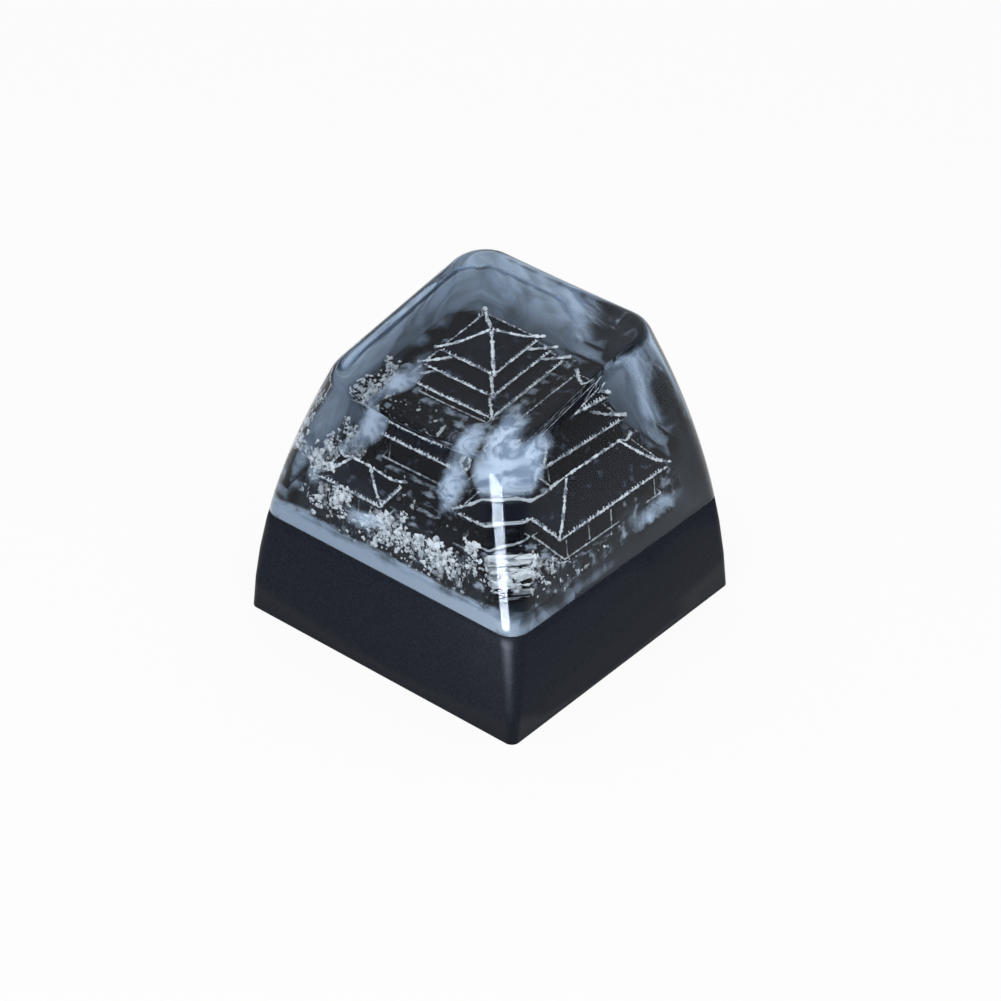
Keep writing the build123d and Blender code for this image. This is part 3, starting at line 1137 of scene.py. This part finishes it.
    def drop_crumb(self, bm: BMesh, place: Vector, growth: float = 1.0) -> None:
        """Adds one rough crumb.

        Args:
            bm: The mesh that gets it.
            place: Its middle, moved a little.
            growth: Factor on its size.
        """
        spread = self.crumb_large - self.crumb_small
        size = growth * (self.crumb_small + spread * self.chance.random() ** 2)
        middle = place + self.stray(self.crumb_stray)
        stand = Matrix.Translation(middle)
        made = bmesh.ops.create_icosphere(bm, subdivisions=1, radius=size, matrix=stand)
        for vert in made["verts"]:
            lump = self.crumb_relief * noise.noise(vert.co * self.crumb_grain / MM)
            vert.co += (vert.co - middle) * lump


@dataclass(frozen=True)
class Wisp:
    """Sheet of smoke that hangs along a curve: its finish, and in millimetres its width and curve."""

    finish: MistVeil
    width: float
    points: tuple[Triple, Triple, Triple, Triple]
    across: Triple = (0.77, 0.64, 0.0)
    narrowest: float = 0.35
    wave: float = 0.3
    wave_scale: float = 0.6

    def at(self, along: float, side: float) -> Vector:
        """Point of the sheet.

        Args:
            along: Share of the way along the curve.
            side: Share of the way across the sheet.

        Returns:
            The point, in metres.
        """
        left = 1 - along
        weights = (left**3, 3 * left**2 * along, 3 * left * along**2, along**3)
        spine = sum((w * Vector(p) for w, p in zip(weights, self.points)), Vector())
        swell = self.narrowest + (1 - self.narrowest) * math.sin(math.pi * along)
        place = spine + Vector(self.across).normalized() * self.width * swell * (side - 0.5)
        return (place + self.wave * noise.noise_vector(place * self.wave_scale)) * MM


@dataclass
class Mist(Workshop):
    """Milky pigment: the layer on the deck with its curtain, and wisps between the houses."""

    form: CapForm = CapForm()
    layer: MilkyResin = MilkyResin()
    wisps: tuple[Wisp, ...] = (
        Wisp(
            MistVeil("corner_wisp", 0.95, Noise(0.42, 6.0, 1.4), Noise(0.924, 5.0, 2.2), 1.3),
            3.0,
            ((5.1, -4.4, 10.1), (3.1, -4.2, 11.4), (4.5, -2.4, 12.6), (1.9, -1.2, 13.6)),
        ),
        Wisp(
            MistVeil("court_wisp", 0.8, Noise(0.5, 6.0, 1.4), Noise(1.1, 5.0, 2.2)),
            2.4,
            ((1.2, -5.6, 7.6), (2.4, -3.6, 9.4), (0.6, -2.6, 10.8), (2.6, -2.4, 12.6)),
        ),
        Wisp(
            MistVeil(
                "tower_wisp",
                0.75,
                Noise(0.4, 6.0, 1.4, (1.0, 1.0, 0.5)),
                Noise(0.88, 5.0, 2.2, (1.0, 1.0, 0.5)),
            ),
            2.8,
            ((-6.0, -3.4, 7.4), (-5.6, -1.8, 9.4), (-3.6, -1.6, 10.6), (-4.0, 0.0, 13.2)),
        ),
    )
    sheet_thickness: float = 0.01 * MM
    fine_edge: float = 0.4 * MM
    wall_gap: float = 0.005
    depth: float = 0.7 * MM
    level_slack: float = 0.1 * MM
    swell: float = 0.16 * MM
    swell_scale: float = 0.7
    swell_noise: tuple[float, float, int] = (0.8, 2.0, 3)
    curtain_wave: float = 0.06 * MM
    curtain_scale: float = 0.5
    layer_share: float = 1.3
    fade_reach: float = 2.4 * MM
    right_density: float = 0.55
    right_cover: float = 0.6
    right_height: float = 2.4 * MM
    right_slope: float = 0.12
    front_cover: float = 0.2
    front_height: float = 3.6 * MM
    front_slope: float = -0.2
    veil_line: float = 5.9 * MM
    veil_end: float = 6.6 * MM
    veil_fade: float = 1.3 * MM
    shore: float = 2.3 * MM
    smoke_top: float = 0.88
    smoke_front: float = 0.36
    smoke_end: float = 2.4 * MM
    smoke_fade: float = 4.0 * MM
    seed: int = 1795825926

    def build(self) -> None:
        """Makes the layer with its curtain and hangs the wisps, waved alike in every run."""
        noise.seed_set(self.seed)
        self.lay_layer()
        for wisp in self.wisps:
            bm = self.sheet(columns=44, rows=14, place=wisp.at)
            bmesh.ops.recalc_face_normals(bm, faces=bm.faces)
            bmesh.ops.solidify(bm, geom=bm.faces[:], thickness=self.sheet_thickness)
            self.hand_over(bm, wisp.finish.name, wisp.finish.material(), Slot.MILKY, crease=80.0)

    def lay_layer(self) -> None:
        """Makes the layer on the deck, waved and thinner away from the wall, and the smoke over it."""
        bm = self.copy_of("mist_floor")
        low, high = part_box("mist_floor")
        level = low.z + self.depth
        self.refine(bm, self.fine_edge, rounds=6)
        layer = bm.loops.layers.uv.new("UVMap")
        for vert in bm.verts:
            place = vert.co
            if place.z > level + self.level_slack:
                place += self.curtain_wave * noise.noise_vector(place * self.curtain_scale / MM)
            elif place.z > level - self.level_slack:
                place.z += self.swell * noise.fractal(place * self.swell_scale / MM, *self.swell_noise)
            place.xy *= 1 - self.wall_gap
        for face in bm.faces:
            for loop in face.loops:
                place = loop.vert.co
                rise = (place.z - low.z) / (high.z - low.z)
                loop[layer].uv = (self.cover_at(place, low, high), rise)
        self.hand_over(bm, "mist_layer", self.layer.material(), Slot.MILKY, "mist_floor")

    def cover_at(self, place: Vector, low: Vector, high: Vector) -> float:
        """How dense the pigment is at a place of the layer, a veil or the smoke.

        Args:
            place: The place.
            low: Lower corner of the pigment's box.
            high: Upper corner of it.

        Returns:
            The density, from 0 to 1.
        """
        x, y, z = place
        if z < low.z + self.layer_share * self.depth:
            gap = min(x - low.x, y - low.y, high.y - y)
            right = self.right_density * (1 - (high.x - x) / self.fade_reach)
            shore = self.fade(self.shore - x) if y > 0 else 1.0
            return shore * max(0.0, right, 1 - gap / self.fade_reach)
        if x > self.veil_line:
            below = low.z + self.right_height + self.right_slope * y - z
            return self.right_cover * self.fade(below) * self.fade(self.veil_end - abs(y))
        if y < -self.veil_line:
            below = low.z + self.front_height + self.front_slope * x - z
            return self.front_cover * self.fade(below) * self.fade(self.veil_end - abs(x))
        level = self.form.top_level(y)
        front, back, _ = self.form.walls(z / level)
        behind = y - (front + back) / 2 + self.smoke_front * (back - front)
        ends = self.fade(behind, self.smoke_fade) * self.fade(self.smoke_end - x, self.smoke_fade)
        return self.fade(self.smoke_top * level - z) * ends

    def fade(self, distance: float, reach: Optional[float] = None) -> float:
        """Share of the density at a distance in from an edge, over a reach or the veils' own."""
        return min(1.0, max(0.0, distance / (reach or self.veil_fade)))


@dataclass
class Studio:
    """Camera at the photograph's angle, white floor and plain soft light."""

    azimuth: float = 39.557
    elevation: float = 35.655
    roll: float = 0.756
    distance: float = 194.83 * MM
    aim_height: float = 8.0 * MM
    aim_pixel: Span = (492.513, 470.311)
    focal_pixels: float = 3770.5
    sensor: float = 36.0
    floor_size: float = 1.2
    floor_glow: float = 0.9
    ambient: float = 0.55
    key_power: float = 0.13
    key_size: Span = (0.14, 0.14)
    key_place: Triple = (0.05, -0.08, 0.15)
    strip_radiance: float = 100.0
    strip_turn: float = 24.0
    strip_distance: float = 26.0 * MM
    strip_level: float = 9.0 * MM
    strip_size: Span = (11.0 * MM, 17.0 * MM)

    def build(self) -> None:
        """Sets up the camera, the floor, the world and the lamps."""
        scene = bpy.context.scene
        scene.view_settings.view_transform = "Standard"
        scene.cycles.transparent_max_bounces = 32
        self.camera()
        self.floor()
        self.world()
        self.lamps()

    @staticmethod
    def round_axis(turn: float) -> Vector:
        """Level way out from the part's axis, at a turn in degrees from the front."""
        return Vector((math.sin(math.radians(turn)), -math.cos(math.radians(turn)), 0))

    @staticmethod
    def facing(place: Vector, way: Vector) -> Matrix:
        """Stand of a camera or lamp at a place, looking a way."""
        return Matrix.Translation(place) @ way.to_track_quat("-Z", "Y").to_matrix().to_4x4()

    def camera(self) -> None:
        """Places the camera so that the part lies where the photograph has it."""
        data = bpy.data.cameras.new("camera")
        camera = add_object("camera", data)
        rise = math.radians(self.elevation)
        back = self.round_axis(self.azimuth) * math.cos(rise) + math.sin(rise) * UP
        stand = self.facing(self.aim_height * UP + back * self.distance, -back)
        camera.matrix_world = stand @ Matrix.Rotation(math.radians(self.roll), 4, "Z")
        data.sensor_width = self.sensor
        data.lens = self.focal_pixels / IMAGE_SIZE * self.sensor
        data.shift_x = (IMAGE_SIZE / 2 - self.aim_pixel[0]) / IMAGE_SIZE
        data.shift_y = -(IMAGE_SIZE / 2 - self.aim_pixel[1]) / IMAGE_SIZE
        data.clip_start = 10 * MM
        bpy.context.scene.camera = camera

    def floor(self) -> None:
        """Lays a white floor that keeps the part's shadow."""
        bm = bmesh.new()
        bmesh.ops.create_grid(bm, x_segments=1, y_segments=1, size=self.floor_size / 2)
        mesh = bpy.data.meshes.new("floor")
        bm.to_mesh(mesh)
        bm.free()
        floor = add_object("floor", mesh)
        shade = Shading("floor_white")
        shade.set(Base_Color=(0.94, 0.94, 0.94, 1.0), Roughness=0.9, Specular_IOR_Level=0.0)
        share = shade.maths("MULTIPLY", shade.any_ray(*DIRECT_RAYS), self.floor_glow)
        shade.show(shade.output, share, shade.surface, shade.add("Emission"))
        mesh.materials.append(shade.material)

    def world(self) -> None:
        """Makes a white surround, dimmer as a light than as a background."""
        world = bpy.data.worlds.new("surround")
        bpy.context.scene.world = world
        world.use_nodes = True
        graph, nodes = Graph(world.node_tree), world.node_tree.nodes
        dim = nodes["Background"]
        graph.fill(dim, {"Color": WHITE, "Strength": self.ambient})
        white = graph.add("Background", {"Color": WHITE})
        graph.show(nodes["World Output"], graph.any_ray(*DIRECT_RAYS), dim, white)

    def lamps(self) -> None:
        """Hangs a soft key over the part and stands a strip before its front corner."""
        self.panel("key", Vector(self.key_place), self.aim_height, self.key_size, self.key_power)
        place = self.round_axis(self.strip_turn) * self.strip_distance + self.strip_level * UP
        power = self.strip_radiance * math.pi * math.prod(self.strip_size)
        strip = self.panel("strip", place, self.strip_level, self.strip_size, power)
        strip.visible_diffuse = False
        strip.visible_transmission = False

    def panel(self, name: str, place: Vector, level: float, size: Span, power: float) -> Item:
        """Makes a flat lamp that looks at the part's axis.

        Args:
            name: The lamp's name.
            place: Its middle.
            level: Height on the axis that it faces.
            size: Its width and height.
            power: Its power in watts.

        Returns:
            The lamp.
        """
        data = bpy.data.lights.new(name, "AREA")
        data.shape = "RECTANGLE"
        data.size, data.size_y = size
        data.energy = power
        lamp = add_object(name, data)
        lamp.matrix_world = self.facing(place, level * UP - place)
        lamp.visible_camera = False
        return lamp


def main() -> None:
    """Builds the pieces in order."""
    logging.basicConfig(level=logging.INFO, format="%(name)s %(message)s")
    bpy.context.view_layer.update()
    Skirt().build()
    Dome().build()
    Scenery().build()
    Hamlet().build()
    Thicket().build()
    Mist().build()
    Studio().build()


if __name__ == "__main__":
    main()
